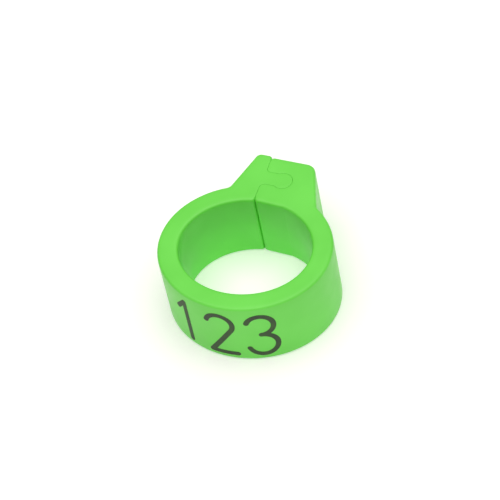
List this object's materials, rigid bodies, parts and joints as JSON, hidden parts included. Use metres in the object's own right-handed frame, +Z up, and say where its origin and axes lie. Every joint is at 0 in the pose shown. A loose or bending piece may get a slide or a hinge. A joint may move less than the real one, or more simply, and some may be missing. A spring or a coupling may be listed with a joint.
{
  "type": "leg band",
  "caption": "Clip-on leg band for poultry: an oval plastic band that springs open at a tongue-and-socket snap clasp, with a dark number stamped on its front.",
  "frame": {"origin": "centre of the leg opening on the plane of the lower rim", "axes": "+Z up along the leg, +Y from the leg towards the clasp, -Y towards the number, +X to the right of a person reading the number"},
  "size_m": [0.011, 0.0123, 0.0048],
  "materials": {
    "band_plastic": "bright green, satin, slightly translucent moulded plastic",
    "number_ink": "dark brown-black stamped marking ink, matte"
  },
  "bodies": {
    "front": {"front_band": "band_plastic", "flex_zone_left": "band_plastic", "flex_zone_right": "band_plastic", "digit_1": "number_ink", "digit_2": "number_ink", "digit_3": "number_ink"},
    "left_end": {"left_arm": "band_plastic", "left_shoulder": "band_plastic", "latch_tongue": "band_plastic"},
    "right_end": {"right_arm": "band_plastic", "latch_socket": "band_plastic", "inner_snap_lip": "band_plastic", "outer_snap_lip": "band_plastic"}
  },
  "joints": [
    {"name": "left_end_opens", "type": "hinge", "parent": "front", "child": "left_end", "pos_m": [-0.0037, -0.00275, 0.0024], "axis": [0, 0, 1], "range_deg": [0, 30], "stiffness_Nm_per_rad": 0.0002, "deforming": ["flex_zone_left"]},
    {"name": "right_end_opens", "type": "hinge", "parent": "front", "child": "right_end", "pos_m": [0.0037, -0.00275, 0.0024], "axis": [0, 0, -1], "range_deg": [0, 30], "stiffness_Nm_per_rad": 0.0002, "deforming": ["flex_zone_right", "inner_snap_lip", "outer_snap_lip"]}
  ],
  "couplings": [
    {"joint": "right_end_opens", "follows": "left_end_opens", "ratio": 1}
  ]
}
